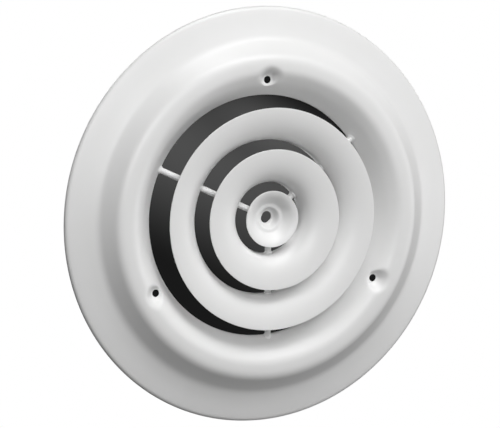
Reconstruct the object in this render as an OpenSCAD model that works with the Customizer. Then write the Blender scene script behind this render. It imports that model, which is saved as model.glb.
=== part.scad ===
// Round step-down ceiling air diffuser: a pressed steel frame, two trumpet-shaped rings and a dished
// centre cone, all welded to three round rods.
// Millimetres. Z = 0 is the ceiling plane, +Z points up into the duct, and the face looks down, along -Z.
// The origin is on the axis. Heights called "drop" are measured down from the ceiling plane.

/* [Sheet] */
// Thickness of the steel sheet, paint included
sheet_t = 0.9; // [0.7:0.1:1.1]

/* [Frame] */
// Radius over the rolled rim
rim_r = 173; // [168:1:180]
// Outside radius of the rolled rim lip
lip_r = 3.8; // [3:0.2:5]
// How far the rim tucks in from its widest line to the ceiling
lip_tuck = 0.5; // [0:0.1:0.8]
// Drop of the rim's widest line
lip_wide_drop = 0.9; // [0.6:0.1:1.4]
// Slope of the broad flange, in degrees
flange_slope = 14; // [10:1:18]
// Radius at which the flange starts to turn into the step wall
flange_inner_r = 153; // [151:0.5:155]
// Radius of the foot of the step wall
wall_foot_r = 144; // [143:0.5:146]
// Drop of the foot of the step wall
wall_foot_drop = 11.6; // [11:0.2:12.4]
// Slope of the step wall at its foot, in degrees
wall_foot_slope = 41; // [38:1:44]
// Radius of the head of the step wall
wall_head_r = 136; // [134:0.5:138]
// Drop of the head of the step wall
wall_head_drop = 18.9; // [18.2:0.2:19.6]
// Slope of the step wall at its head, in degrees
wall_head_slope = 43; // [38:1:46]
// Radius of the crest of the ridge
ridge_r = 123.5; // [122:0.5:125]
// Drop of the crest of the ridge
ridge_drop = 22.4; // [21.6:0.2:23.2]
// Radius of the throat, inside
throat_r = 100.3; // [99:0.1:101.5]
// Drop of the throat's upper edge
throat_edge_drop = 2.2; // [1.6:0.1:2.4]
// Drop at which the throat's straight wall starts to flare
throat_flare_drop = 3.6; // [3.2:0.1:4.4]

/* [Screw holes] */
// Diameter of the circle that the three screw holes lie on
hole_pcd = 227.4; // [226:0.2:229]
// Diameter of a screw hole
hole_d = 6.2; // [5:0.2:6.8]
// Direction of the first screw hole past 30 degrees from +X
hole_turn = 0.4; // [0:0.1:1]
// Diameter of the flat seat round a screw hole
seat_d = 8.4; // [7.6:0.2:9.2]
// Drop of the seat
seat_drop = 14.4; // [14:0.2:15]
// Angle between the dimple's wall and the hole's axis, in degrees
dimple_angle = 36; // [32:1:42]

/* [Rings] */
// Outer ring: radius of its rim
outer_rim_r = 91.9; // [90:0.1:93]
// Outer ring: drop of its rim
outer_rim_drop = 28.5; // [27:0.5:30]
// Outer ring: radius of its throat, inside
outer_throat_r = 64.3; // [63:0.1:65]
// Outer ring: drop of its throat's upper edge
outer_edge_drop = 6.2; // [5.5:0.1:6.6]
// Middle ring: radius of its rim
middle_rim_r = 58.1; // [57:0.1:59]
// Middle ring: drop of its rim
middle_rim_drop = 31.5; // [30:0.5:33]
// Middle ring: radius of its throat, inside
middle_throat_r = 29.8; // [29:0.1:31]
// Middle ring: drop of its throat's upper edge
middle_edge_drop = 10.7; // [10:0.1:11]
// Height of the straight wall at a ring's throat
ring_wall = 5; // [4:0.5:6]

/* [Centre cone] */
// Radius of the centre cone's rim
centre_rim_r = 23.3; // [22:0.1:24]
// Drop of the centre cone's rim
centre_rim_drop = 26.5; // [25.5:0.5:27.5]
// Drop of the flat step inside the cone
shelf_drop = 19.5; // [19:0.1:20]
// Drop of the floor of the well in the middle
well_drop = 13.4; // [13:0.1:14]
// Diameter of the larger of the two overlapping holes that make the keyhole
key_large_d = 8.6; // [7:0.2:9]
// Diameter of the smaller of them
key_small_d = 7.8; // [6:0.2:8.2]
// Distance between the centres of the two
key_offset = 1.9; // [1:0.1:2.4]
// Direction from the larger to the smaller, in degrees from +X
key_angle = 127; // [0:1:359]

/* [Rods] */
// Diameter of a support rod
rod_d = 5; // [4:0.2:5.2]
// Drop of the rods' centre lines where they would meet on the axis
rod_drop_axis = 18.1; // [17.5:0.1:18.5]
// Drop of the rods' centre lines at the frame's throat
rod_drop_throat = 5.5; // [5.3:0.1:6]
// Direction of rod 1, in degrees from +X
rod_angle_1 = 87; // [80:0.5:94]
// Direction of rod 2, in degrees from +X
rod_angle_2 = 205.5; // [198:0.5:212]
// Direction of rod 3, in degrees from +X
rod_angle_3 = 323.5; // [317:0.5:330]
// Gap between a rod and the punched hole that it passes through, before painting
rod_gap = 0.05; // [0.02:0.01:0.1]

/* [Hidden] */

$fn = 180;
paint = [0.93, 0.93, 0.92];
rod_paint = [0.90, 0.90, 0.89];
hole_r = hole_d / 2;
hole_angles = [hole_turn + 30, hole_turn + 150, hole_turn + 270];
seat_r = seat_d / 2;
rod_r = rod_d / 2;
rod_rise = atan((rod_drop_axis - rod_drop_throat) / throat_r);
curve_steps = 7;
lip_drop = lip_r * cos(flange_slope);
past = 20;

// An outline is a run of stations [radius, drop, heading], from the rim inwards. Heading 0 runs
// straight in towards the axis, +90 runs down into the room and -90 runs up towards the ceiling.
function heading(a) = [-cos(a), sin(a)];
function place(s) = [s[0], s[1]];

// A cubic curve from station s to station e, leaving and arriving along their headings
function reach(s, e) = 0.38 * norm(place(e) - place(s));
function curve_point(s, e, u) =
    pow(1 - u, 3) * place(s)
    + 3 * pow(1 - u, 2) * u * (place(s) + reach(s, e) * heading(s[2]))
    + 3 * (1 - u) * pow(u, 2) * (place(e) - reach(s, e) * heading(e[2]))
    + pow(u, 3) * place(e);
function curve_slope(s, e, u) =
    3 * pow(1 - u, 2) * reach(s, e) * heading(s[2])
    + 6 * (1 - u) * u * (place(e) - place(s) - reach(s, e) * (heading(s[2]) + heading(e[2])))
    + 3 * pow(u, 2) * reach(s, e) * heading(e[2]);

// Points of the whole run, moved to the back of the sheet by the distance back
function back_of(d) = [-d[1], d[0]] / norm(d);
function run_points(stations, back) = [
    for (i = [0 : len(stations) - 2], k = [0 : curve_steps - 1])
        let (u = k / curve_steps, s = stations[i], e = stations[i + 1])
        curve_point(s, e, u) + back * back_of(curve_slope(s, e, u)),
    let (s = stations[len(stations) - 1])
        place(s) + back * back_of(heading(s[2]))
];
function reversed(list) = [for (i = [len(list) - 1 : -1 : 0]) list[i]];
function to_section(points) = [for (p = points) [max(p[0], 0), -p[1]]];

// A pressed sheet turned round the axis: its section is the run of stations, one sheet thick
module pressed(stations) {
    rotate_extrude()
        polygon(to_section(concat(run_points(stations, 0), reversed(run_points(stations, sheet_t)))));
}

// Everything on the room side of the back of a pressed sheet
module room_side(stations) {
    rim = stations[0];
    rotate_extrude()
        polygon(to_section(concat(
            run_points(stations, sheet_t),
            [[0, rim[1] + past], [rim[0] + past, rim[1] + past], [rim[0] + past, rim[1]]]
        )));
}

frame_run = [
    [rim_r - lip_tuck, 0, 90],
    [rim_r, lip_wide_drop, 90],
    [rim_r - lip_r * (1 - sin(flange_slope)), lip_drop, flange_slope],
    [flange_inner_r, lip_drop + (rim_r - lip_r - flange_inner_r) * tan(flange_slope), flange_slope + 1],
    [wall_foot_r, wall_foot_drop, wall_foot_slope],
    [wall_head_r, wall_head_drop, wall_head_slope],
    [ridge_r, ridge_drop, 0],
    [114.5, ridge_drop - 3.1, -32],
    [108, ridge_drop - 8.3, -46],
    [throat_r + 0.8, throat_flare_drop + 2.15, -52],
    [throat_r, throat_flare_drop, -90],
    [throat_r, throat_edge_drop, -90]
];

function ring_run(rim_radius, rim_drop, throat_radius, edge_drop) = [
    [rim_radius, rim_drop, -3],
    [throat_radius, edge_drop + ring_wall, -90],
    [throat_radius, edge_drop, -90]
];
outer_run = ring_run(outer_rim_r, outer_rim_drop, outer_throat_r, outer_edge_drop);
middle_run = ring_run(middle_rim_r, middle_rim_drop, middle_throat_r, middle_edge_drop);

centre_run = [
    [centre_rim_r, centre_rim_drop, -8],
    [13.4, shelf_drop + 1.1, -42],
    [11.4, shelf_drop, 0],
    [9.8, shelf_drop - 0.1, -6],
    [8.2, shelf_drop - 2, -64],
    [7, well_drop + 1.1, -60],
    [5.6, well_drop, 0],
    [0, well_drop, 0]
];

// The line of a rod, with any radius, from the axis out past the throat
module rod_line(angle, radius) {
    rotate([0, 0, angle])
        translate([0, 0, -rod_drop_axis])
            rotate([0, 90 - rod_rise, 0])
                cylinder(h = throat_r + past, r = radius);
}

module rod_holes() {
    rod_line(rod_angle_1, rod_r + rod_gap);
    rod_line(rod_angle_2, rod_r + rod_gap);
    rod_line(rod_angle_3, rod_r + rod_gap);
}

// Everything inside the back of the frame's bell-mouth
module inside_bell_mouth() {
    back = [for (p = run_points(frame_run, sheet_t)) if (p[0] < ridge_r - 1) p];
    upper_edge = back[len(back) - 1];
    rotate_extrude()
        polygon(to_section(concat(back, [[0, upper_edge[1]], [0, 3 * past], [back[0][0], 3 * past]])));
}

// The dimple round one screw hole, as a solid that opens towards the room; grow adds the sheet
module dimple(grow) {
    depth = ridge_drop - seat_drop + 2;
    translate([hole_pcd / 2, 0, -seat_drop - depth])
        cylinder(h = depth + grow, r1 = seat_r + grow + depth * tan(dimple_angle), r2 = seat_r + grow);
}

// What lies behind the frame's own room face near the screw holes
module behind_bell_mouth() {
    face = run_points(frame_run, 0);
    near = [for (p = face) if (p[0] < wall_head_r && p[0] > throat_r + 1) p];
    inner_r = near[len(near) - 1][0];
    rotate_extrude()
        polygon(to_section(concat(near, [[inner_r, 0], [near[0][0], 0]])));
}

module frame() {
    color(paint)
    difference() {
        union() {
            pressed(frame_run);
            for (a = hole_angles)
                intersection() {
                    rotate([0, 0, a]) dimple(sheet_t);
                    behind_bell_mouth();
                }
        }
        for (a = hole_angles)
            rotate([0, 0, a]) {
                dimple(0);
                translate([hole_pcd / 2, 0, -ridge_drop]) cylinder(h = ridge_drop, r = hole_r);
            }
        rod_holes();
    }
}

module ring(stations) {
    difference() {
        pressed(stations);
        rod_holes();
    }
}

module outer_cone() {
    color(paint) ring(outer_run);
}

module middle_cone() {
    color(paint) ring(middle_run);
}

module centre_cone() {
    color(paint)
    difference() {
        pressed(centre_run);
        rotate([0, 0, key_angle])
            translate([0, 0, -well_drop - sheet_t])
                for (hole = [[-key_offset / 2, key_large_d], [key_offset / 2, key_small_d]])
                    translate([hole[0], 0, 0]) cylinder(h = 4 * sheet_t, d = hole[1]);
    }
}

// A rod runs from the back of the centre cone, where its end is shaped to fit, out through both
// rings, and ends flush with the back of the frame
module support_rod(angle) {
    color(rod_paint)
    difference() {
        intersection() {
            rod_line(angle, rod_r);
            inside_bell_mouth();
        }
        room_side(centre_run);
    }
}

module support_rod_1() { support_rod(rod_angle_1); }
module support_rod_2() { support_rod(rod_angle_2); }
module support_rod_3() { support_rod(rod_angle_3); }

frame();
outer_cone();
middle_cone();
centre_cone();
support_rod_1();
support_rod_2();
support_rod_3();
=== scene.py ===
"""A round step-down ceiling air diffuser, seen from below and a little to one side.

The stampings are smooth sheet-metal shells with rounded edges, pressed screw dimples and weld beads, in
the frame of the CAD model. The diffuser's lengths are millimetres up to the point where a mesh is made,
and the stage's are metres. "Drop" is the distance below the ceiling plane, Z = 0.
"""

import math

import bmesh
import bpy
import numpy as np
from mathutils import Matrix, Vector


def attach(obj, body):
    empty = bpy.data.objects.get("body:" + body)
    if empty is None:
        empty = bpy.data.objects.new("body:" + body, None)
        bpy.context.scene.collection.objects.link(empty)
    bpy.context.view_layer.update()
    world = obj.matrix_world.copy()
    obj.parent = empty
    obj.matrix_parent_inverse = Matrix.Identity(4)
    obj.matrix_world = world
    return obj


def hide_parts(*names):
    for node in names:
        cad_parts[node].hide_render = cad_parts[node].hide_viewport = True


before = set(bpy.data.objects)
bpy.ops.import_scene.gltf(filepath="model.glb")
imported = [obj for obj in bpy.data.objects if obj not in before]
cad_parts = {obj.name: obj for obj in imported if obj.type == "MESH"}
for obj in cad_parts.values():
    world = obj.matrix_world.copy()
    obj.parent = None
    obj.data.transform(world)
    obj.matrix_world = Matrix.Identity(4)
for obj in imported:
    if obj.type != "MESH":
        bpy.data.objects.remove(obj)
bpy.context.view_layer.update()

MM = 0.001

# ---------------------------------------------------------------- driving sizes, as in the CAD model

SHEET = 0.9

# A station of a profile is (radius, drop, heading), with the heading as heading() reads it
RIM_R = 173.0
LIP_R, LIP_TUCK, LIP_WIDE_DROP = 3.8, 0.5, 0.9
FLANGE_SLOPE, FLANGE_END_SLOPE = 14.0, 15.0
FLANGE_INNER_R = 153.0
WALL_FOOT = (144.0, 11.6, 41.0)
WALL_HEAD = (136.0, 18.9, 43.0)
RIDGE_R, RIDGE_DROP = 123.5, 22.4
BELL_SHOULDER = (114.5, RIDGE_DROP - 3.1, -32.0)
BELL_SIDE = (108.0, RIDGE_DROP - 8.3, -46.0)
THROAT_R, THROAT_EDGE_DROP, THROAT_FLARE_DROP = 100.3, 2.2, 3.6
BELL_END = (THROAT_R + 0.8, THROAT_FLARE_DROP + 2.15, -52.0)

HOLE_CIRCLE_R, HOLE_R = 113.7, 3.1
HOLE_ANGLES = (30.4, 150.4, 270.4)
SEAT_R, SEAT_DROP, DIMPLE_ANGLE = 4.2, 14.4, 36.0

RINGS = {
    "outer_cone": {"rim": (91.9, 28.5), "throat_r": 64.3, "edge_drop": 6.2},
    "middle_cone": {"rim": (58.1, 31.5), "throat_r": 29.8, "edge_drop": 10.7},
}
RING_WALL, RING_RIM_HEADING = 5.0, -3.0

CENTRE_RIM = (23.3, 26.5, -8.0)
SHELF_DROP, WELL_DROP, WELL_FLOOR_R = 19.5, 13.4, 5.6
KEY_LARGE_R, KEY_SMALL_R, KEY_OFFSET, KEY_ANGLE = 4.3, 3.9, 1.9, 127.0

ROD_R = 2.5
ROD_DROP_AXIS, ROD_DROP_THROAT = 18.1, 5.5
ROD_ANGLES = (87.0, 205.5, 323.5)

# ---------------------------------------------------------------- profiles


def heading(angle):
    """Direction of a station's tangent: 0 is inwards, 90 down into the room, -90 up."""
    a = math.radians(angle)
    return np.array([-math.cos(a), math.sin(a)])


def run(stations, step_mm=1.0, pull=0.38):
    """Points (radius, drop) along smooth curves through stations (radius, drop, heading)."""
    points = []
    for start, end in zip(stations, stations[1:]):
        a, b = np.array(start[:2]), np.array(end[:2])
        reach = pull * np.linalg.norm(b - a)
        c, d = a + reach * heading(start[2]), b - reach * heading(end[2])
        count = max(3, round(np.linalg.norm(b - a) / step_mm))
        for u in np.arange(count) / count:
            v = 1 - u
            points.append(v**3 * a + 3 * v * v * u * c + 3 * v * u * u * d + u**3 * b)
    points.append(np.array(stations[-1][:2]))
    return np.array(points)


def frame_run():
    """The frame's stations, from the rim's cut edge round the lip and in to the throat's edge."""
    slope = math.radians(FLANGE_SLOPE)
    lip_drop = LIP_R * math.cos(slope)
    lip_inner_r = RIM_R - LIP_R * (1 - math.sin(slope))
    flange_drop = lip_drop + (RIM_R - LIP_R - FLANGE_INNER_R) * math.tan(slope)
    return [
        (RIM_R - LIP_TUCK, 0.0, 90.0),
        (RIM_R, LIP_WIDE_DROP, 90.0),
        (lip_inner_r, lip_drop, FLANGE_SLOPE),
        (FLANGE_INNER_R, flange_drop, FLANGE_END_SLOPE),
        WALL_FOOT,
        WALL_HEAD,
        (RIDGE_R, RIDGE_DROP, 0.0),
        BELL_SHOULDER,
        BELL_SIDE,
        BELL_END,
        (THROAT_R, THROAT_FLARE_DROP, -90.0),
        (THROAT_R, THROAT_EDGE_DROP, -90.0),
    ]


def ring_run(rim, throat_r, edge_drop):
    """A trumpet-shaped ring's stations, from its rim to the upper edge of its straight throat."""
    return [
        (*rim, RING_RIM_HEADING),
        (throat_r, edge_drop + RING_WALL, -90.0),
        (throat_r, edge_drop, -90.0),
    ]


def centre_run():
    """The centre cone's stations: rim, foot of the wall, shelf, and the well down to its floor."""
    return [
        CENTRE_RIM,
        (13.4, SHELF_DROP + 1.1, -42.0),
        (11.4, SHELF_DROP, 0.0),
        (9.8, SHELF_DROP - 0.1, -6.0),
        (8.2, SHELF_DROP - 2.0, -64.0),
        (7.0, WELL_DROP + 1.1, -60.0),
        (WELL_FLOOR_R, WELL_DROP, 0.0),
    ]


FRAME_POINTS = run(frame_run())
OUTER_POINTS = run(ring_run(**RINGS["outer_cone"]))
MIDDLE_POINTS = run(ring_run(**RINGS["middle_cone"]))
CENTRE_POINTS = run(centre_run(), step_mm=0.4)
BELL_MOUTH_POINTS = FRAME_POINTS[FRAME_POINTS[:, 0] < RIDGE_R]

# ---------------------------------------------------------------- mesh helpers

# The columns in a full turn, the distance under which two points become one, and a sharp edge's angle
SEGMENTS = 360
SAME_POINT = 0.003
SHARP_EDGE = math.radians(50)


def mesh_object(name, bm):
    """Makes an object of a bmesh given in metres."""
    mesh = bpy.data.meshes.new(name)
    bm.to_mesh(mesh)
    bm.free()
    obj = bpy.data.objects.new(name, mesh)
    bpy.context.scene.collection.objects.link(obj)
    return obj


def scaled_object(name, bm):
    """Makes an object of a bmesh given in millimetres."""
    bmesh.ops.scale(bm, vec=(MM, MM, MM), verts=bm.verts)
    return mesh_object(name, bm)


def face_the_room(bm):
    """Turns the surface's normals down, towards the room."""
    bmesh.ops.recalc_face_normals(bm, faces=bm.faces)
    if sum(f.normal.z for f in bm.faces) > 0:
        bmesh.ops.reverse_faces(bm, faces=bm.faces)


def apply_modifiers(obj):
    """Replaces the mesh with its evaluated form, so that no modifier is left on the piece."""
    graph = bpy.context.evaluated_depsgraph_get()
    mesh = bpy.data.meshes.new_from_object(obj.evaluated_get(graph))
    obj.modifiers.clear()
    obj.data = mesh


def sheet_shell(name, bm, edge_r=0.22):
    """Makes a piece of sheet metal, with rounded cut edges, from its room side."""
    face_the_room(bm)
    obj = scaled_object(name, bm)
    solid = obj.modifiers.new("sheet", "SOLIDIFY")
    solid.thickness = SHEET * MM
    solid.offset = -1.0
    solid.use_even_offset = True
    solid.use_quality_normals = True
    bevel = obj.modifiers.new("edges", "BEVEL")
    bevel.width = edge_r * MM
    bevel.segments = 3
    bevel.limit_method = "ANGLE"
    bevel.angle_limit = SHARP_EDGE
    bevel.miter_outer = "MITER_ARC"
    weld = obj.modifiers.new("close points", "WELD")
    weld.merge_threshold = SAME_POINT * MM
    apply_modifiers(obj)
    obj.data.shade_smooth()
    return obj


def revolve_surface(points, segments=SEGMENTS, move=None, skip=None):
    """A one-sided surface, the run of points turned round the axis, and its grid of vertices.

    move(x, y, z) may shift a point, and skip(row, column) leaves a face out."""
    bm = bmesh.new()
    grid = []
    for radius, drop in points:
        ring = []
        for k in range(segments):
            a = 2 * math.pi * k / segments
            p = (radius * math.cos(a), radius * math.sin(a), -drop)
            ring.append(bm.verts.new(move(*p) if move else p))
        grid.append(ring)
    for i in range(len(grid) - 1):
        for k in range(segments):
            if skip and skip(i, k):
                continue
            n = (k + 1) % segments
            bm.faces.new((grid[i][k], grid[i + 1][k], grid[i + 1][n], grid[i][n]))
    return bm, grid


# ---------------------------------------------------------------- frame

# A dimple reaches no further than this from its hole's axis, and this is half the width of the rounding
# where its flat seat meets its cone. The cone blends into the face where their drops differ by less than
# a blend, which is larger on the ridge's side of the hole and changes over a width across it
DIMPLE_REACH, SEAT_ROUND = 16.0, 1.1
BLEND_THROAT_SIDE, BLEND_RIDGE_SIDE, BLEND_CHANGE = 1.8, 4.5, 8.0
PRESSED_LO_R, PRESSED_HI_R = THROAT_R + 0.5, WALL_HEAD[0] - 1.0
FACE_LO_R, FACE_HI_R = THROAT_R + 0.2, WALL_HEAD[0]
PRESSED_FACE = FRAME_POINTS[(FRAME_POINTS[:, 0] < FACE_HI_R) & (FRAME_POINTS[:, 0] > FACE_LO_R)]


def hole_centre(angle):
    a = math.radians(angle)
    return HOLE_CIRCLE_R * math.cos(a), HOLE_CIRCLE_R * math.sin(a)


def dimple_drop(x, y, drop):
    """The drop of the frame's face at (x, y), with the pressed dimples blended in."""
    for angle in HOLE_ANGLES:
        cx, cy = hole_centre(angle)
        d = math.hypot(x - cx, y - cy)
        if d > DIMPLE_REACH:
            continue
        h = max(0.0, d - SEAT_R + SEAT_ROUND)
        h = h * h / (4 * SEAT_ROUND) if h < 2 * SEAT_ROUND else h - SEAT_ROUND
        cone = SEAT_DROP + h / math.tan(math.radians(DIMPLE_ANGLE))
        ridge_side = (math.hypot(x, y) - HOLE_CIRCLE_R + BLEND_CHANGE / 2) / BLEND_CHANGE
        ridge_side = min(1.0, max(0.0, ridge_side))
        blend = BLEND_THROAT_SIDE + (BLEND_RIDGE_SIDE - BLEND_THROAT_SIDE) * ridge_side
        k = max(0.0, blend - abs(cone - drop)) / blend
        drop = min(cone, drop) - k * k * blend / 4
    return drop


def press(x, y, z):
    """Moves a point of the frame's face up into a dimple, if it lies in one."""
    if not PRESSED_LO_R < math.hypot(x, y) < PRESSED_HI_R:
        return x, y, z
    return x, y, -dimple_drop(x, y, -z)


def face_drop(radius):
    """Drop of the plain profile at a radius between the throat and the step."""
    return float(np.interp(radius, PRESSED_FACE[::-1, 0], PRESSED_FACE[::-1, 1]))


# Round each screw hole, a patch of the grid is replaced by rings that end in the round hole. The patch
# reaches a number of columns to each side of the hole's own, and the rows within a width of the circle
PATCH_COLUMNS, PATCH_WIDTH, PATCH_RINGS = 4, 7.2, 10
patch_rows = [i for i, (r, _) in enumerate(FRAME_POINTS) if abs(r - HOLE_CIRCLE_R) < PATCH_WIDTH]
ROW_LO, ROW_HI = min(patch_rows), max(patch_rows)


def hole_column(angle):
    return round(angle / 360 * SEGMENTS)


def in_patch(row, column):
    if not ROW_LO <= row < ROW_HI:
        return False
    return any(-PATCH_COLUMNS <= column - hole_column(a) < PATCH_COLUMNS for a in HOLE_ANGLES)


def hole_patch(bm, grid, angle):
    """Fills the gap in the grid round one screw hole with rings that run in to the hole."""
    left, right = hole_column(angle) - PATCH_COLUMNS, hole_column(angle) + PATCH_COLUMNS
    loop = [grid[i][left % SEGMENTS] for i in range(ROW_LO, ROW_HI)]
    loop += [grid[ROW_HI][k % SEGMENTS] for k in range(left, right)]
    loop += [grid[i][right % SEGMENTS] for i in range(ROW_HI, ROW_LO, -1)]
    loop += [grid[ROW_LO][k % SEGMENTS] for k in range(right, left, -1)]
    cx, cy = hole_centre(angle)
    outer = loop
    for j in range(1, PATCH_RINGS + 1):
        share = j / PATCH_RINGS
        inner = []
        for v in loop:
            dx, dy = v.co.x - cx, v.co.y - cy
            d = math.hypot(dx, dy)
            reach = d + (HOLE_R - d) * share
            x, y = cx + dx / d * reach, cy + dy / d * reach
            plain_drop = face_drop(math.hypot(x, y))
            inner.append(bm.verts.new((x, y, -dimple_drop(x, y, plain_drop))))
        for k in range(len(loop)):
            n = (k + 1) % len(loop)
            bm.faces.new((outer[k], outer[n], inner[n], inner[k]))
        outer = inner


def make_frame():
    bm, grid = revolve_surface(FRAME_POINTS, move=press, skip=in_patch)
    for angle in HOLE_ANGLES:
        hole_patch(bm, grid, angle)
    return sheet_shell("frame_shell", bm)


# ---------------------------------------------------------------- rings and centre cone

CONE_SEGMENTS, CONE_EDGE_R = 192, 0.2
WELL_FLOOR_RINGS = 3


def make_ring(name, points):
    bm, _ = revolve_surface(points)
    return sheet_shell(name, bm)


def keyhole_radius(angle):
    """Distance from the axis to the keyhole's edge, at an angle in radians."""
    best = 0.0
    for side, radius in ((-1, KEY_LARGE_R), (1, KEY_SMALL_R)):
        offset = side * KEY_OFFSET / 2
        along = offset * math.cos(angle - math.radians(KEY_ANGLE))
        across = offset * math.sin(angle - math.radians(KEY_ANGLE))
        best = max(best, along + math.sqrt(radius**2 - across**2))
    return best


def make_centre_cone():
    """The dished cone, its well's flat floor closed in to the keyhole with a few rings."""
    bm, grid = revolve_surface(CENTRE_POINTS, CONE_SEGMENTS)
    outer = grid[-1]
    for j in range(1, WELL_FLOOR_RINGS + 1):
        share = j / WELL_FLOOR_RINGS
        inner = []
        for k in range(CONE_SEGMENTS):
            a = 2 * math.pi * k / CONE_SEGMENTS
            radius = WELL_FLOOR_R * (1 - share) + keyhole_radius(a) * share
            inner.append(bm.verts.new((radius * math.cos(a), radius * math.sin(a), -WELL_DROP)))
        for k in range(CONE_SEGMENTS):
            n = (k + 1) % CONE_SEGMENTS
            bm.faces.new((outer[k], inner[k], inner[n], outer[n]))
        outer = inner
    return sheet_shell("centre_cone_shell", bm, CONE_EDGE_R)


# ---------------------------------------------------------------- rods and weld beads

ROD_SIDES, ROD_STEPS = 48, 32
ROD_RISE = math.atan((ROD_DROP_AXIS - ROD_DROP_THROAT) / THROAT_R)

# The ends of a rod are looked for from these radii, over these lengths. The inner end stops halfway
# through the centre cone's sheet, and the outer end goes a little past where it meets the bell-mouth
ROD_INNER_FROM, ROD_INNER_SEARCH, ROD_INNER_LEFT = 22, 16.0, SHEET * 0.5
ROD_OUTER_FROM, ROD_OUTER_SEARCH, ROD_OUTER_PAST = 94, 14.0, SHEET * 0.4

# A weld bead's outline: distance off the wall, towards the axis, and height over the rod. The first
# point is inside the wall, and the last one inside the rod. The wall is looked for from a distance
# inwards of it, over a length
BEAD_OUTLINE = ((-0.4, 0.95), (0.2, 0.95), (0.6, 0.8), (0.95, 0.52), (1.25, 0.22), (1.5, -0.08))
BEAD_FROM, BEAD_SEARCH = 7, 12.0
BEAD_SEEDS = {"middle_cone": 0.7, "outer_cone": 2.1, "frame": 3.9}
WALL_CARRIED_UP = 6.0

# The search for a face stops this close to it, and takes at least this step, at most this many times
CLOSE_ENOUGH, SMALLEST_STEP, MOST_STEPS = 0.1, 0.04, 80


def rod_point(angle, radius):
    """A point on a rod's centre line, at a radius from the diffuser's axis."""
    a = math.radians(angle)
    drop = ROD_DROP_AXIS - radius * math.tan(ROD_RISE)
    return Vector((radius * math.cos(a), radius * math.sin(a), -drop))


def spokes(angle, radius):
    """The direction of a rod, outwards, and vectors from its centre line to its sides."""
    along = (rod_point(angle, 100) - rod_point(angle, 0)).normalized()
    side = Vector((0, 0, 1)).cross(along).normalized()
    up = along.cross(side)
    turns = [2 * math.pi * k / ROD_SIDES for k in range(ROD_SIDES)]
    return along, [(side * math.cos(a) + up * math.sin(a)) * radius for a in turns]


def gap_to(profile, point):
    """Distance in the (radius, drop) plane from a point to a profile."""
    p = np.array((math.hypot(point.x, point.y), -point.z))
    a, b = profile[:-1], profile[1:]
    ab = b - a
    share = np.clip(((p - a) * ab).sum(1) / (ab * ab).sum(1), 0, 1)
    return float(np.linalg.norm(a + ab * share[:, None] - p, axis=1).min())


def meets(profile, start, along, near, limit):
    """How far along a line from start the profile's face comes near, or limit if it doesn't."""
    t = 0.0
    for _ in range(MOST_STEPS):
        gap = gap_to(profile, start + along * t)
        if gap <= near or t >= limit:
            break
        t += max(SMALLEST_STEP, gap - near)
    return min(t, limit)


def carried_up(profile):
    """The profile with its last straight wall carried on towards the ceiling."""
    return np.vstack([profile, profile[-1] - np.array((0.0, WALL_CARRIED_UP))])


def skin(bm, rings):
    for one, two in zip(rings, rings[1:]):
        for k in range(ROD_SIDES):
            n = (k + 1) % ROD_SIDES
            bm.faces.new((one[k], one[n], two[n], two[k]))


def bead_swell(turn, seed):
    """How much thicker than its outline a bead is, at a turn round the rod in radians."""
    return 1 + 0.12 * math.sin(2 * turn + seed) + 0.05 * math.sin(3 * turn + 2.3 * seed)


def weld_bead(bm, angle, profile, wall_r, seed):
    """A small collar of weld on a rod, laid against the inner side of the wall near wall_r."""
    wall, rings = carried_up(profile), []
    along, arms = spokes(angle, 1.0)
    for off_wall, height in BEAD_OUTLINE:
        ring = []
        for k, arm in enumerate(arms):
            swell = bead_swell(2 * math.pi * k / ROD_SIDES, seed)
            out = ROD_R + (height * swell if height > 0 else height)
            start = rod_point(angle, wall_r - BEAD_FROM) + arm * out
            t = meets(wall, start, along, CLOSE_ENOUGH, BEAD_SEARCH)
            ring.append(bm.verts.new(start + along * (t - off_wall * swell)))
        rings.append(ring)
    skin(bm, rings + rings[:1])


def make_rod(number, angle):
    """A rod whose ends are shaped to the centre cone and the bell-mouth, and its three weld beads."""
    bm = bmesh.new()
    along, arms = spokes(angle, ROD_R)
    bell_mouth = carried_up(BELL_MOUTH_POINTS)
    from_axis, to_throat = [], []
    for arm in arms:
        start = rod_point(angle, ROD_INNER_FROM) + arm
        reach = meets(CENTRE_POINTS, start, -along, ROD_INNER_LEFT, ROD_INNER_SEARCH)
        from_axis.append(ROD_INNER_FROM - reach)
        start = rod_point(angle, ROD_OUTER_FROM) + arm
        reach = meets(bell_mouth, start, along, CLOSE_ENOUGH, ROD_OUTER_SEARCH)
        to_throat.append(ROD_OUTER_FROM + reach + ROD_OUTER_PAST)
    rings = []
    for j in range(ROD_STEPS + 1):
        share = j / ROD_STEPS
        ring = []
        for k, arm in enumerate(arms):
            distance = from_axis[k] * (1 - share) + to_throat[k] * share
            centre = rod_point(angle, 0) + along * (distance / math.cos(ROD_RISE))
            ring.append(bm.verts.new(centre + arm))
        rings.append(ring)
    skin(bm, rings)
    bm.faces.new(list(reversed(rings[0])))
    bm.faces.new(rings[-1])
    walls = {
        "middle_cone": (MIDDLE_POINTS, RINGS["middle_cone"]["throat_r"]),
        "outer_cone": (OUTER_POINTS, RINGS["outer_cone"]["throat_r"]),
        "frame": (BELL_MOUTH_POINTS, THROAT_R),
    }
    for name, (profile, wall_r) in walls.items():
        weld_bead(bm, angle, profile, wall_r, BEAD_SEEDS[name] + number)
    bmesh.ops.recalc_face_normals(bm, faces=bm.faces)
    obj = scaled_object(f"rod_{number}", bm)
    obj.data.shade_smooth()
    obj.data.set_sharp_from_angle(angle=SHARP_EDGE)
    return obj


# ---------------------------------------------------------------- materials

PAINT_BASE, PAINT_ROUGHNESS = 0.82, 0.38


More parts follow.
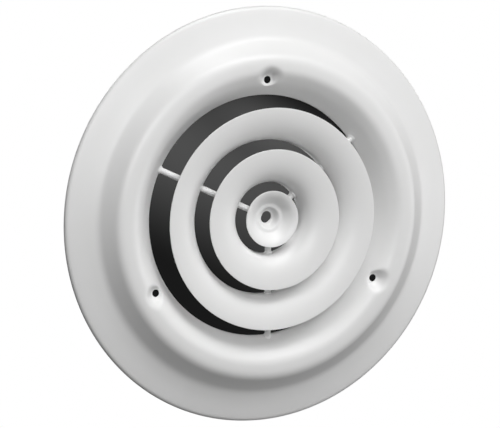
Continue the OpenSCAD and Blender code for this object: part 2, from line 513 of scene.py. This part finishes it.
def paint_material(name):
    """Baked semi-gloss paint: a faint mottle, fine orange peel and a slight gloss variation."""
    mat = bpy.data.materials.new(name)
    mat.use_nodes = True
    tree = mat.node_tree
    shader = tree.nodes["Principled BSDF"]
    shader.inputs["Specular IOR Level"].default_value = 0.5
    coords = tree.nodes.new("ShaderNodeTexCoord")

    def noise(scale, detail, roughness=0.5):
        node = tree.nodes.new("ShaderNodeTexNoise")
        node.inputs["Scale"].default_value = scale
        node.inputs["Detail"].default_value = detail
        node.inputs["Roughness"].default_value = roughness
        tree.links.new(coords.outputs["Object"], node.inputs["Vector"])
        return node

    mottle = noise(scale=22.0, detail=3.0)
    ramp = tree.nodes.new("ShaderNodeValToRGB")
    duller, full = ramp.color_ramp.elements
    duller.position, full.position = 0.35, 0.65
    duller.color = (PAINT_BASE * 0.985, PAINT_BASE * 0.985, PAINT_BASE * 0.98, 1)
    full.color = (PAINT_BASE, PAINT_BASE, PAINT_BASE * 0.998, 1)
    tree.links.new(mottle.outputs["Fac"], ramp.inputs["Fac"])
    tree.links.new(ramp.outputs["Color"], shader.inputs["Base Color"])

    gloss = noise(scale=140.0, detail=2.0)
    gloss_range = tree.nodes.new("ShaderNodeMapRange")
    gloss_range.inputs["To Min"].default_value = PAINT_ROUGHNESS - 0.03
    gloss_range.inputs["To Max"].default_value = PAINT_ROUGHNESS + 0.03
    tree.links.new(gloss.outputs["Fac"], gloss_range.inputs["Value"])
    tree.links.new(gloss_range.outputs["Result"], shader.inputs["Roughness"])

    peel = noise(scale=900.0, detail=2.0, roughness=0.45)
    bump = tree.nodes.new("ShaderNodeBump")
    bump.inputs["Strength"].default_value = 0.10
    bump.inputs["Distance"].default_value = 0.00006
    tree.links.new(peel.outputs["Fac"], bump.inputs["Height"])
    tree.links.new(bump.outputs["Normal"], shader.inputs["Normal"])
    return mat


def finish_piece(obj, material, slot, *nodes):
    obj.data.materials.clear()
    obj.data.materials.append(material)
    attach(obj, "root")
    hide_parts(*nodes)


# ---------------------------------------------------------------- the pieces

sheets = {
    "frame": make_frame(),
    "outer_cone": make_ring("outer_cone_shell", OUTER_POINTS),
    "middle_cone": make_ring("middle_cone_shell", MIDDLE_POINTS),
    "centre_cone": make_centre_cone(),
}
rods = [make_rod(number, angle) for number, angle in enumerate(ROD_ANGLES, 1)]

sheet_paint = paint_material("sheet_paint")
rod_paint = paint_material("rod_paint")
for node, shell in sheets.items():
    finish_piece(shell, sheet_paint, "painted_sheet", node)
for number, rod in enumerate(rods, 1):
    finish_piece(rod, rod_paint, "painted_rod", f"support_rod_{number}")

# ---------------------------------------------------------------- camera

# The camera stands below the ceiling, turned by a yaw and then tilted by a pitch from facing straight
# up the axis. ORIGIN_IN_VIEW is where the diffuser's origin lies, right and up of the sight line.
CAMERA_YAW, CAMERA_PITCH = math.radians(24.384), math.radians(8.658)
CAMERA_DISTANCE = 2.4805
ORIGIN_IN_VIEW = (0.00755, -0.00071)
LENS_MM, SENSOR_MM = 216.0, 36.0
FARTHEST_SEEN = 50

facing_up = Matrix.Rotation(math.pi, 3, "X")
CAMERA_AXES = facing_up @ Matrix.Rotation(-CAMERA_YAW, 3, "Y") @ Matrix.Rotation(-CAMERA_PITCH, 3, "X")
CAMERA_AT = CAMERA_AXES @ -Vector((*ORIGIN_IN_VIEW, -CAMERA_DISTANCE))

camera_data = bpy.data.cameras.new("camera")
camera_data.lens = LENS_MM
camera_data.sensor_width = SENSOR_MM
camera_data.sensor_fit = "HORIZONTAL"
camera_data.clip_end = FARTHEST_SEEN
camera = bpy.data.objects.new("camera", camera_data)
camera.matrix_world = Matrix.Translation(CAMERA_AT) @ CAMERA_AXES.to_4x4()
bpy.context.scene.collection.objects.link(camera)
bpy.context.scene.camera = camera
bpy.context.scene.view_settings.view_transform = "Standard"

# ---------------------------------------------------------------- floor and surroundings

FLOOR_DROP, FLOOR_SIZE = 4.2, 24.0
FLOOR_PAINT, FLOOR_ROUGHNESS, FLOOR_SEEN = (0.8, 0.8, 0.79, 1), 0.9, (0.62, 0.62, 0.62, 1)
AMBIENT, SURROUNDINGS_SEEN = (0.03, 0.03, 0.03, 1), (1, 1, 1, 1)


def seen_apart(tree, out, lit, seen):
    """Gives a material or the world one shader for light that bounces and another for the camera."""
    mix = tree.nodes.new("ShaderNodeMixShader")
    path = tree.nodes.new("ShaderNodeLightPath")
    tree.links.new(path.outputs["Is Camera Ray"], mix.inputs["Fac"])
    tree.links.new(lit, mix.inputs[1])
    tree.links.new(seen, mix.inputs[2])
    tree.links.new(mix.outputs["Shader"], out.inputs["Surface"])


def make_floor():
    """A floor that is an even pale grey to the camera, and throws light back as paint does."""
    bm = bmesh.new()
    bmesh.ops.create_grid(bm, x_segments=1, y_segments=1, size=FLOOR_SIZE / 2)
    floor = mesh_object("floor", bm)
    floor.location = (0, 0, -FLOOR_DROP)
    mat = bpy.data.materials.new("floor_paint")
    mat.use_nodes = True
    tree = mat.node_tree
    paint = tree.nodes["Principled BSDF"]
    paint.inputs["Base Color"].default_value = FLOOR_PAINT
    paint.inputs["Roughness"].default_value = FLOOR_ROUGHNESS
    seen = tree.nodes.new("ShaderNodeEmission")
    seen.inputs["Color"].default_value = FLOOR_SEEN
    seen_apart(tree, tree.nodes["Material Output"], paint.outputs["BSDF"], seen.outputs["Emission"])
    floor.data.materials.append(mat)


def make_surroundings():
    """White to the camera, and a faint ambient light on the diffuser."""
    world = bpy.data.worlds.new("studio")
    bpy.context.scene.world = world
    world.use_nodes = True
    tree = world.node_tree
    tree.nodes.clear()
    out = tree.nodes.new("ShaderNodeOutputWorld")
    ambient = tree.nodes.new("ShaderNodeBackground")
    ambient.inputs["Color"].default_value = AMBIENT
    seen = tree.nodes.new("ShaderNodeBackground")
    seen.inputs["Color"].default_value = SURROUNDINGS_SEEN
    seen_apart(tree, out, ambient.outputs["Background"], seen.outputs["Background"])


make_floor()
make_surroundings()

# ---------------------------------------------------------------- backdrop

# A dark disc that shows through the openings, far behind the diffuser. It is lit by no lamp: it emits its
# own painted light and painted shadow. Its radius is given as it seems from the camera, at the diffuser's
# distance, and there the frame hides its edge
BACKDROP_DISTANCE, BACKDROP_SEEMING_R, BACKDROP_SIDES = 4.0, 0.150, 96
BACKDROP_SCALE = (CAMERA_AT.length + BACKDROP_DISTANCE) / CAMERA_AT.length
# Painted shadow: the disc's emission where no painted light falls
PAINTED_SHADOW_LEVEL = 0.010

# Painted pools of light on it: centre and half size in metres, turn in radians, and strength
PAINTED_LIGHT_POOLS = (
    ((-0.482, 0.307), (0.239, 3.290), 1.09, 0.068),
    ((0.044, 0.180), (0.084, 0.227), 1.02, 0.044),
)
# The painted light shows only in this window, the throat's; elsewhere the disc keeps its painted shadow,
# so it is dark behind the screw holes
PAINTED_LIGHT_WINDOW_R = THROAT_R * MM * BACKDROP_SCALE * 1.12
PAINTED_LIGHT_WINDOW_EDGE = 0.06


def painted_light_patch(tree, centre, half_size, turn, strength, edge=1.0):
    """A soft round-edged patch on the backdrop, a pool of painted light or the window the painted light
    shows in; lengths in metres on the disc. The patch fades from its middle to its rim, or only over the
    outermost share of its radius given by edge."""
    coords = tree.nodes.new("ShaderNodeTexCoord")
    mapping = tree.nodes.new("ShaderNodeMapping")
    mapping.vector_type = "TEXTURE"
    mapping.inputs["Location"].default_value = (*centre, 0)
    mapping.inputs["Rotation"].default_value = (0, 0, turn)
    mapping.inputs["Scale"].default_value = (*half_size, 1)
    sphere = tree.nodes.new("ShaderNodeTexGradient")
    sphere.gradient_type = "SPHERICAL"
    amount = tree.nodes.new("ShaderNodeMapRange")
    amount.interpolation_type = "SMOOTHSTEP"
    amount.inputs["From Max"].default_value = edge
    amount.inputs["To Max"].default_value = strength
    tree.links.new(coords.outputs["Object"], mapping.inputs["Vector"])
    tree.links.new(mapping.outputs["Vector"], sphere.inputs["Vector"])
    tree.links.new(sphere.outputs["Fac"], amount.inputs["Value"])
    return amount.outputs["Result"]


def combine(tree, operation, one, two):
    """Adds or multiplies two values, each of them a number or another node's output."""
    node = tree.nodes.new("ShaderNodeMath")
    node.operation = operation
    for socket, value in zip(node.inputs, (one, two)):
        if isinstance(value, (int, float)):
            socket.default_value = value
        else:
            tree.links.new(value, socket)
    return node.outputs["Value"]


def backdrop_material():
    mat = bpy.data.materials.new("backdrop_painted_light_and_shadow")
    mat.use_nodes = True
    tree = mat.node_tree
    tree.nodes.clear()
    out = tree.nodes.new("ShaderNodeOutputMaterial")
    # The disc's emission is painted light and shadow: the painted pools of light, masked to the throat's
    # window, over the painted shadow level
    grey = tree.nodes.new("ShaderNodeEmission")
    window = (PAINTED_LIGHT_WINDOW_R * math.cos(CAMERA_YAW), PAINTED_LIGHT_WINDOW_R)
    level = combine(tree, "ADD", *(painted_light_patch(tree, *light_pool) for light_pool in PAINTED_LIGHT_POOLS))
    level = combine(tree, "MULTIPLY", level, painted_light_patch(tree, (0, 0), window, 0.0, 1.0, PAINTED_LIGHT_WINDOW_EDGE))
    level = combine(tree, "ADD", level, PAINTED_SHADOW_LEVEL)
    tree.links.new(level, grey.inputs["Strength"])
    tree.links.new(grey.outputs["Emission"], out.inputs["Surface"])
    return mat


def make_backdrop():
    bm = bmesh.new()
    radius = BACKDROP_SEEMING_R * BACKDROP_SCALE
    bmesh.ops.create_circle(bm, cap_ends=True, segments=BACKDROP_SIDES, radius=radius)
    backdrop = mesh_object("backdrop", bm)
    place = CAMERA_AT.normalized() * -BACKDROP_DISTANCE
    backdrop.matrix_world = Matrix.Translation(place) @ CAMERA_AXES.to_4x4()
    backdrop.data.materials.append(backdrop_material())


make_backdrop()

# ---------------------------------------------------------------- light

# The last softbox is a weak narrow one that shows the diffuser's back
LIGHT_DISTANCE, LIGHT_SIZE = 2.4, 1.1


def softbox(name, off_axis, azimuth, power, spread=180):
    """A round softbox aimed at the origin, its angles in degrees from -Z and, round the axis, from +X."""
    light = bpy.data.lights.new(name, "AREA")
    light.shape = "DISK"
    light.size = LIGHT_SIZE
    light.energy = power
    light.spread = math.radians(spread)
    obj = bpy.data.objects.new(name, light)
    tilt, turn = math.radians(off_axis), math.radians(azimuth)
    towards = Vector((math.sin(tilt) * math.cos(turn), math.sin(tilt) * math.sin(turn), -math.cos(tilt)))
    obj.location = towards * LIGHT_DISTANCE
    obj.rotation_mode = "QUATERNION"
    obj.rotation_quaternion = towards.to_track_quat("Z", "Y")
    bpy.context.scene.collection.objects.link(obj)


softbox("key_upper", 50, 292, 21)
softbox("key_lower", 64, 270, 21)
softbox("camera_side_fill", 20, 228, 21)
softbox("right_side", 66, 12, 11)
softbox("above_ceiling_fill", 145, 235, 12)
softbox("above_ceiling_key", 165, 60, 0.6, spread=30)
